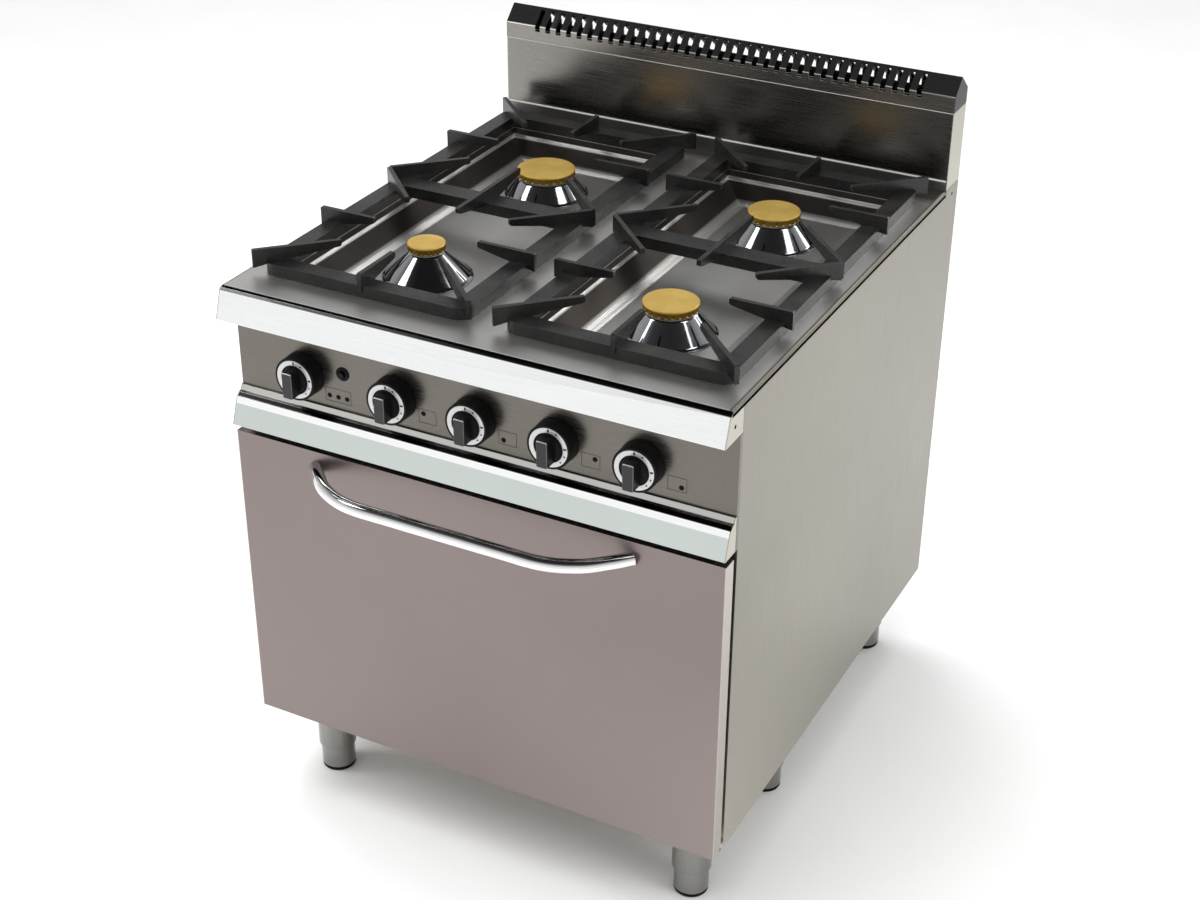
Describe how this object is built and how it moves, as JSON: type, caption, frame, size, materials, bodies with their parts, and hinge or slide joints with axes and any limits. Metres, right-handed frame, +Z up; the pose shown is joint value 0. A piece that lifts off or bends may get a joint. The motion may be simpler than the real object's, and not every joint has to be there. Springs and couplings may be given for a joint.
{
  "type": "gas range",
  "caption": "Commercial free-standing gas range: hob with cast grates and brass burners, slotted flue at the back, front controls, drop-down oven door with a bow handle, round screw feet.",
  "frame": {"origin": "on the floor under the middle of the range's bounding box", "axes": "+X to the range's right as its user faces it, +Y from the front to the back, +Z up"},
  "size_m": [0.8, 0.9602, 1.0807],
  "materials": {
    "satin_steel": "satin brushed stainless steel",
    "bright_steel": "bright fine-grained stainless steel",
    "hob_steel": "smooth stainless steel, slightly reflective",
    "door_steel": "satin stainless steel, warm tone",
    "dark_steel": "mirror-like stainless steel reflecting a dark room",
    "polished_steel": "polished",
    "brass": "machined, lightly dulled by heat",
    "cast_iron": "matt enamelled cast iron",
    "black_plastic": "black moulded heat-proof plastic",
    "black_rubber": "black",
    "oven_enamel": "vitreous enamel, dark grey",
    "mineral_wool": "fibrous insulation slab"
  },
  "bodies": {
    "range_body": {"hob_top": "hob_steel", "front_rail": "bright_steel", "lower_rail": "bright_steel", "oven_burner": "bright_steel", "igniter_ring": "bright_steel", "control_panel": "satin_steel", "side_panel_left": "satin_steel", "side_panel_right": "satin_steel", "back_panel": "satin_steel", "base_panel": "satin_steel", "front_frame": "dark_steel", "upstand": "dark_steel", "flue_cap": "dark_steel", "oven_duct": "dark_steel", "oven_riser": "dark_steel", "hinge_left": "dark_steel", "hinge_right": "dark_steel", "oven_floor": "oven_enamel", "oven_roof": "oven_enamel", "oven_wall_left": "oven_enamel", "oven_wall_right": "oven_enamel", "oven_wall_back": "oven_enamel", "rack_runner_left": "polished_steel", "rack_runner_right": "polished_steel", "oven_rack": "polished_steel", "burner_cone_front_left": "polished_steel", "burner_cone_front_right": "polished_steel", "burner_cone_back_left": "polished_steel", "burner_cone_back_right": "polished_steel", "gas_rail": "brass", "gas_inlet": "brass", "leg_sleeve_front_left": "satin_steel", "leg_sleeve_front_right": "satin_steel", "leg_sleeve_middle_left": "satin_steel", "leg_sleeve_middle_right": "satin_steel", "leg_sleeve_back_left": "satin_steel", "leg_sleeve_back_right": "satin_steel"},
    "door": {"door_outer": "door_steel", "door_insulation": "mineral_wool", "door_inner": "bright_steel", "door_seal": "black_rubber", "door_handle": "polished_steel"},
    "knob_1": {"knob_1": "black_plastic"},
    "knob_2": {"knob_2": "black_plastic"},
    "knob_3": {"knob_3": "black_plastic"},
    "knob_4": {"knob_4": "black_plastic"},
    "knob_5": {"knob_5": "black_plastic"},
    "igniter_button": {"igniter_button": "black_plastic"},
    "grate_left": {"grate_left": "cast_iron"},
    "grate_right": {"grate_right": "cast_iron"},
    "burner_cap_front_left": {"burner_cap_front_left": "brass"},
    "burner_cap_front_right": {"burner_cap_front_right": "brass"},
    "burner_cap_back_left": {"burner_cap_back_left": "brass"},
    "burner_cap_back_right": {"burner_cap_back_right": "brass"},
    "foot_front_left": {"foot_front_left": "bright_steel"},
    "foot_front_right": {"foot_front_right": "bright_steel"},
    "foot_middle_left": {"foot_middle_left": "bright_steel"},
    "foot_middle_right": {"foot_middle_right": "bright_steel"},
    "foot_back_left": {"foot_back_left": "bright_steel"},
    "foot_back_right": {"foot_back_right": "bright_steel"}
  },
  "joints": [
    {"name": "door_hinge", "type": "hinge", "parent": "range_body", "child": "door", "pos_m": [0, -0.374, 0.156], "axis": [1, 0, 0], "range_deg": [0, 90], "stiffness_Nm_per_rad": 12, "springref_deg": -22.92},
    {"name": "knob_1_turn", "type": "hinge", "parent": "range_body", "child": "knob_1", "pos_m": [-0.286, -0.3725, 0.7725], "axis": [0, -1, 0], "range_deg": [0, 270]},
    {"name": "knob_2_turn", "type": "hinge", "parent": "range_body", "child": "knob_2", "pos_m": [-0.13, -0.3725, 0.7725], "axis": [0, -1, 0], "range_deg": [0, 180]},
    {"name": "knob_3_turn", "type": "hinge", "parent": "range_body", "child": "knob_3", "pos_m": [0, -0.3725, 0.7725], "axis": [0, -1, 0], "range_deg": [0, 180]},
    {"name": "knob_4_turn", "type": "hinge", "parent": "range_body", "child": "knob_4", "pos_m": [0.13, -0.3725, 0.7725], "axis": [0, -1, 0], "range_deg": [0, 180]},
    {"name": "knob_5_turn", "type": "hinge", "parent": "range_body", "child": "knob_5", "pos_m": [0.26, -0.3725, 0.7725], "axis": [0, -1, 0], "range_deg": [0, 180]},
    {"name": "igniter_push", "type": "slide", "parent": "range_body", "child": "igniter_button", "axis": [0, 1, 0], "range_m": [0, 0.004], "stiffness_N_per_m": 400, "springref_m": -0.002},
    {"name": "grate_left_lift", "type": "slide", "parent": "range_body", "child": "grate_left", "axis": [0, 0, 1], "range_m": [0, 0.12]},
    {"name": "grate_right_lift", "type": "slide", "parent": "range_body", "child": "grate_right", "axis": [0, 0, 1], "range_m": [0, 0.12]},
    {"name": "burner_cap_front_left_lift", "type": "slide", "parent": "range_body", "child": "burner_cap_front_left", "axis": [0, 0, 1], "range_m": [0, 0.08]},
    {"name": "burner_cap_front_right_lift", "type": "slide", "parent": "range_body", "child": "burner_cap_front_right", "axis": [0, 0, 1], "range_m": [0, 0.08]},
    {"name": "burner_cap_back_left_lift", "type": "slide", "parent": "range_body", "child": "burner_cap_back_left", "axis": [0, 0, 1], "range_m": [0, 0.08]},
    {"name": "burner_cap_back_right_lift", "type": "slide", "parent": "range_body", "child": "burner_cap_back_right", "axis": [0, 0, 1], "range_m": [0, 0.08]},
    {"name": "foot_front_left_screw", "type": "slide", "parent": "range_body", "child": "foot_front_left", "axis": [0, 0, -1], "range_m": [0, 0.03]},
    {"name": "foot_front_right_screw", "type": "slide", "parent": "range_body", "child": "foot_front_right", "axis": [0, 0, -1], "range_m": [0, 0.03]},
    {"name": "foot_middle_left_screw", "type": "slide", "parent": "range_body", "child": "foot_middle_left", "axis": [0, 0, -1], "range_m": [0, 0.03]},
    {"name": "foot_middle_right_screw", "type": "slide", "parent": "range_body", "child": "foot_middle_right", "axis": [0, 0, -1], "range_m": [0, 0.03]},
    {"name": "foot_back_left_screw", "type": "slide", "parent": "range_body", "child": "foot_back_left", "axis": [0, 0, -1], "range_m": [0, 0.03]},
    {"name": "foot_back_right_screw", "type": "slide", "parent": "range_body", "child": "foot_back_right", "axis": [0, 0, -1], "range_m": [0, 0.03]}
  ]
}
